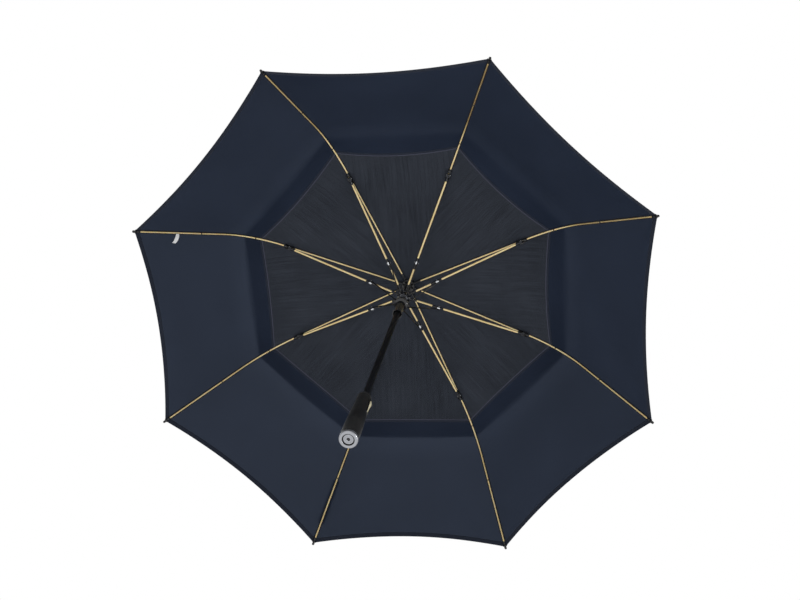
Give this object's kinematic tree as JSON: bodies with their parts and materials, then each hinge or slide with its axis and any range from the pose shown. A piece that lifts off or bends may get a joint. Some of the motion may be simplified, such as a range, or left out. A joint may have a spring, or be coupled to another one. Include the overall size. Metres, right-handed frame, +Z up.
{
  "type": "golf umbrella",
  "caption": "Open golf umbrella with a vented double canopy on bending ribs, sprung twin runners, a straight grip with a push button and a ringed end cap.",
  "frame": {"origin": "centre of the handle's end face, on the shaft's axis", "axes": "+Z runs up the shaft from the handle to the ferrule; +X points along the first rib"},
  "size_m": [1.304, 1.304, 0.955],
  "materials": {
    "canopy_fabric": "matt woven polyester, dark navy",
    "mesh_fabric": "fine open mesh, charcoal",
    "fibreglass": "smooth golden fibreglass rod",
    "joint_plastic": "black moulded nylon",
    "shaft_black": "black coated tube",
    "grip_rubber": "soft black grip",
    "silver_cap": "satin silver plating",
    "button_cream": "smooth pale gold",
    "steel_wire": "plain wire",
    "label_white": "white satin ribbon"
  },
  "bodies": {
    "root": {"shaft": "shaft_black", "crown": "joint_plastic", "crown_wire": "steel_wire", "canopy_washer": "joint_plastic", "ferrule": "joint_plastic", "upper_canopy": "canopy_fabric", "lower_canopy": "canopy_fabric", "vent_mesh": "mesh_fabric", "handle_core": "joint_plastic", "grip_sleeve": "grip_rubber", "end_cap": "silver_cap", "cap_disc": "silver_cap"},
    "rib_1": {"rib_inner_1": "fibreglass", "rib_bracket_1": "joint_plastic"},
    "rib_end_1": {"rib_outer_1": "fibreglass"},
    "stretcher_1": {"stretcher_1": "fibreglass"},
    "link_1": {"link_1": "joint_plastic"},
    "rib_2": {"rib_inner_2": "fibreglass", "rib_bracket_2": "joint_plastic"},
    "rib_end_2": {"rib_outer_2": "fibreglass"},
    "stretcher_2": {"stretcher_2": "fibreglass"},
    "link_2": {"link_2": "joint_plastic"},
    "rib_3": {"rib_inner_3": "fibreglass", "rib_bracket_3": "joint_plastic"},
    "rib_end_3": {"rib_outer_3": "fibreglass"},
    "stretcher_3": {"stretcher_3": "fibreglass"},
    "link_3": {"link_3": "joint_plastic"},
    "rib_4": {"rib_inner_4": "fibreglass", "rib_bracket_4": "joint_plastic"},
    "rib_end_4": {"rib_outer_4": "fibreglass"},
    "stretcher_4": {"stretcher_4": "fibreglass"},
    "link_4": {"link_4": "joint_plastic"},
    "rib_5": {"rib_inner_5": "fibreglass", "rib_bracket_5": "joint_plastic"},
    "rib_end_5": {"rib_outer_5": "fibreglass", "closing_strap": "canopy_fabric"},
    "stretcher_5": {"stretcher_5": "fibreglass"},
    "link_5": {"link_5": "joint_plastic"},
    "rib_6": {"rib_inner_6": "fibreglass", "rib_bracket_6": "joint_plastic"},
    "rib_end_6": {"rib_outer_6": "fibreglass"},
    "stretcher_6": {"stretcher_6": "fibreglass"},
    "link_6": {"link_6": "joint_plastic"},
    "rib_7": {"rib_inner_7": "fibreglass", "rib_bracket_7": "joint_plastic"},
    "rib_end_7": {"rib_outer_7": "fibreglass", "care_label": "label_white"},
    "stretcher_7": {"stretcher_7": "fibreglass"},
    "link_7": {"link_7": "joint_plastic"},
    "rib_8": {"rib_inner_8": "fibreglass", "rib_bracket_8": "joint_plastic"},
    "rib_end_8": {"rib_outer_8": "fibreglass"},
    "stretcher_8": {"stretcher_8": "fibreglass"},
    "link_8": {"link_8": "joint_plastic"},
    "upper_runner": {"upper_runner": "joint_plastic", "opening_spring": "steel_wire"},
    "lower_runner": {"lower_runner": "joint_plastic"},
    "button": {"push_button": "button_cream", "catch_spring": "steel_wire"}
  },
  "joints": [
    {"name": "fold", "type": "hinge", "parent": "root", "child": "rib_1", "pos_m": [0.014, 0, 0.866], "axis": [0, 1, 0], "range_deg": [0, 76.06]},
    {"name": "rib_1_flex", "type": "hinge", "parent": "rib_1", "child": "rib_end_1", "pos_m": [0.40417, 0, 0.80945], "axis": [0, 1, 0], "range_deg": [-29.68, 1]},
    {"name": "stretcher_1_hinge", "type": "hinge", "parent": "rib_1", "child": "stretcher_1", "pos_m": [0.32598, 0, 0.82249], "axis": [0, 1, 0], "range_deg": [-153.12, 1]},
    {"name": "link_1_hinge", "type": "hinge", "parent": "stretcher_1", "child": "link_1", "pos_m": [0.09323, 0, 0.79002], "axis": [0, 1, 0], "range_deg": [-1, 31.52]},
    {"name": "rib_2_hinge", "type": "hinge", "parent": "root", "child": "rib_2", "pos_m": [0.0099, 0.0099, 0.866], "axis": [-0.7071, 0.7071, 0], "range_deg": [-0.5, 76.56]},
    {"name": "rib_2_flex", "type": "hinge", "parent": "rib_2", "child": "rib_end_2", "pos_m": [0.28579, 0.28579, 0.80945], "axis": [-0.7071, 0.7071, 0], "range_deg": [-29.68, 1]},
    {"name": "stretcher_2_hinge", "type": "hinge", "parent": "rib_2", "child": "stretcher_2", "pos_m": [0.2305, 0.2305, 0.82249], "axis": [-0.7071, 0.7071, 0], "range_deg": [-153.12, 1]},
    {"name": "link_2_hinge", "type": "hinge", "parent": "stretcher_2", "child": "link_2", "pos_m": [0.06593, 0.06593, 0.79002], "axis": [-0.7071, 0.7071, 0], "range_deg": [-1, 31.52]},
    {"name": "rib_3_hinge", "type": "hinge", "parent": "root", "child": "rib_3", "pos_m": [0, 0.014, 0.866], "axis": [-1, 0, 0], "range_deg": [-0.5, 76.56]},
    {"name": "rib_3_flex", "type": "hinge", "parent": "rib_3", "child": "rib_end_3", "pos_m": [0, 0.40417, 0.80945], "axis": [-1, 0, 0], "range_deg": [-29.68, 1]},
    {"name": "stretcher_3_hinge", "type": "hinge", "parent": "rib_3", "child": "stretcher_3", "pos_m": [0, 0.32598, 0.82249], "axis": [-1, 0, 0], "range_deg": [-153.12, 1]},
    {"name": "link_3_hinge", "type": "hinge", "parent": "stretcher_3", "child": "link_3", "pos_m": [0, 0.09323, 0.79002], "axis": [-1, 0, 0], "range_deg": [-1, 31.52]},
    {"name": "rib_4_hinge", "type": "hinge", "parent": "root", "child": "rib_4", "pos_m": [-0.0099, 0.0099, 0.866], "axis": [-0.7071, -0.7071, 0], "range_deg": [-0.5, 76.56]},
    {"name": "rib_4_flex", "type": "hinge", "parent": "rib_4", "child": "rib_end_4", "pos_m": [-0.28579, 0.28579, 0.80945], "axis": [-0.7071, -0.7071, 0], "range_deg": [-29.68, 1]},
    {"name": "stretcher_4_hinge", "type": "hinge", "parent": "rib_4", "child": "stretcher_4", "pos_m": [-0.2305, 0.2305, 0.82249], "axis": [-0.7071, -0.7071, 0], "range_deg": [-153.12, 1]},
    {"name": "link_4_hinge", "type": "hinge", "parent": "stretcher_4", "child": "link_4", "pos_m": [-0.06593, 0.06593, 0.79002], "axis": [-0.7071, -0.7071, 0], "range_deg": [-1, 31.52]},
    {"name": "rib_5_hinge", "type": "hinge", "parent": "root", "child": "rib_5", "pos_m": [-0.014, 0, 0.866], "axis": [0, -1, 0], "range_deg": [-0.5, 76.56]},
    {"name": "rib_5_flex", "type": "hinge", "parent": "rib_5", "child": "rib_end_5", "pos_m": [-0.40417, 0, 0.80945], "axis": [0, -1, 0], "range_deg": [-29.68, 1]},
    {"name": "stretcher_5_hinge", "type": "hinge", "parent": "rib_5", "child": "stretcher_5", "pos_m": [-0.32598, 0, 0.82249], "axis": [0, -1, 0], "range_deg": [-153.12, 1]},
    {"name": "link_5_hinge", "type": "hinge", "parent": "stretcher_5", "child": "link_5", "pos_m": [-0.09323, 0, 0.79002], "axis": [0, -1, 0], "range_deg": [-1, 31.52]},
    {"name": "rib_6_hinge", "type": "hinge", "parent": "root", "child": "rib_6", "pos_m": [-0.0099, -0.0099, 0.866], "axis": [0.7071, -0.7071, 0], "range_deg": [-0.5, 76.56]},
    {"name": "rib_6_flex", "type": "hinge", "parent": "rib_6", "child": "rib_end_6", "pos_m": [-0.28579, -0.28579, 0.80945], "axis": [0.7071, -0.7071, 0], "range_deg": [-29.68, 1]},
    {"name": "stretcher_6_hinge", "type": "hinge", "parent": "rib_6", "child": "stretcher_6", "pos_m": [-0.2305, -0.2305, 0.82249], "axis": [0.7071, -0.7071, 0], "range_deg": [-153.12, 1]},
    {"name": "link_6_hinge", "type": "hinge", "parent": "stretcher_6", "child": "link_6", "pos_m": [-0.06593, -0.06593, 0.79002], "axis": [0.7071, -0.7071, 0], "range_deg": [-1, 31.52]},
    {"name": "rib_7_hinge", "type": "hinge", "parent": "root", "child": "rib_7", "pos_m": [0, -0.014, 0.866], "axis": [1, 0, 0], "range_deg": [-0.5, 76.56]},
    {"name": "rib_7_flex", "type": "hinge", "parent": "rib_7", "child": "rib_end_7", "pos_m": [0, -0.40417, 0.80945], "axis": [1, 0, 0], "range_deg": [-29.68, 1]},
    {"name": "stretcher_7_hinge", "type": "hinge", "parent": "rib_7", "child": "stretcher_7", "pos_m": [0, -0.32598, 0.82249], "axis": [1, 0, 0], "range_deg": [-153.12, 1]},
    {"name": "link_7_hinge", "type": "hinge", "parent": "stretcher_7", "child": "link_7", "pos_m": [0, -0.09323, 0.79002], "axis": [1, 0, 0], "range_deg": [-1, 31.52]},
    {"name": "rib_8_hinge", "type": "hinge", "parent": "root", "child": "rib_8", "pos_m": [0.0099, -0.0099, 0.866], "axis": [0.7071, 0.7071, 0], "range_deg": [-0.5, 76.56]},
    {"name": "rib_8_flex", "type": "hinge", "parent": "rib_8", "child": "rib_end_8", "pos_m": [0.28579, -0.28579, 0.80945], "axis": [0.7071, 0.7071, 0], "range_deg": [-29.68, 1]},
    {"name": "stretcher_8_hinge", "type": "hinge", "parent": "rib_8", "child": "stretcher_8", "pos_m": [0.2305, -0.2305, 0.82249], "axis": [0.7071, 0.7071, 0], "range_deg": [-153.12, 1]},
    {"name": "link_8_hinge", "type": "hinge", "parent": "stretcher_8", "child": "link_8", "pos_m": [0.06593, -0.06593, 0.79002], "axis": [0.7071, 0.7071, 0], "range_deg": [-1, 31.52]},
    {"name": "upper_runner_hinge", "type": "hinge", "parent": "stretcher_1", "child": "upper_runner", "pos_m": [0.014, 0, 0.77897], "axis": [0, 1, 0], "range_deg": [-1, 77.06]},
    {"name": "lower_runner_slide", "type": "slide", "parent": "upper_runner", "child": "lower_runner", "axis": [0, 0, 1], "range_m": [-0.001, 0.03275], "deforming": ["opening_spring"]},
    {"name": "button_press", "type": "slide", "parent": "root", "child": "button", "axis": [-0.3827, -0.9239, 0], "range_m": [0, 0.002], "stiffness_N_per_m": 400}
  ],
  "couplings": [
    {"joint": "rib_1_flex", "follows": "fold", "ratio": -0.37705},
    {"joint": "stretcher_1_hinge", "follows": "fold", "ratio": -2},
    {"joint": "link_1_hinge", "follows": "fold", "ratio": 0.40133},
    {"joint": "rib_2_hinge", "follows": "fold", "ratio": 1},
    {"joint": "rib_2_flex", "follows": "fold", "ratio": -0.37705},
    {"joint": "stretcher_2_hinge", "follows": "fold", "ratio": -2},
    {"joint": "link_2_hinge", "follows": "fold", "ratio": 0.40133},
    {"joint": "rib_3_hinge", "follows": "fold", "ratio": 1},
    {"joint": "rib_3_flex", "follows": "fold", "ratio": -0.37705},
    {"joint": "stretcher_3_hinge", "follows": "fold", "ratio": -2},
    {"joint": "link_3_hinge", "follows": "fold", "ratio": 0.40133},
    {"joint": "rib_4_hinge", "follows": "fold", "ratio": 1},
    {"joint": "rib_4_flex", "follows": "fold", "ratio": -0.37705},
    {"joint": "stretcher_4_hinge", "follows": "fold", "ratio": -2},
    {"joint": "link_4_hinge", "follows": "fold", "ratio": 0.40133},
    {"joint": "rib_5_hinge", "follows": "fold", "ratio": 1},
    {"joint": "rib_5_flex", "follows": "fold", "ratio": -0.37705},
    {"joint": "stretcher_5_hinge", "follows": "fold", "ratio": -2},
    {"joint": "link_5_hinge", "follows": "fold", "ratio": 0.40133},
    {"joint": "rib_6_hinge", "follows": "fold", "ratio": 1},
    {"joint": "rib_6_flex", "follows": "fold", "ratio": -0.37705},
    {"joint": "stretcher_6_hinge", "follows": "fold", "ratio": -2},
    {"joint": "link_6_hinge", "follows": "fold", "ratio": 0.40133},
    {"joint": "rib_7_hinge", "follows": "fold", "ratio": 1},
    {"joint": "rib_7_flex", "follows": "fold", "ratio": -0.37705},
    {"joint": "stretcher_7_hinge", "follows": "fold", "ratio": -2},
    {"joint": "link_7_hinge", "follows": "fold", "ratio": 0.40133},
    {"joint": "rib_8_hinge", "follows": "fold", "ratio": 1},
    {"joint": "rib_8_flex", "follows": "fold", "ratio": -0.37705},
    {"joint": "stretcher_8_hinge", "follows": "fold", "ratio": -2},
    {"joint": "link_8_hinge", "follows": "fold", "ratio": 0.40133},
    {"joint": "upper_runner_hinge", "follows": "fold", "ratio": 1},
    {"joint": "lower_runner_slide", "follows": "fold", "m_per_rad": 0.023916}
  ]
}
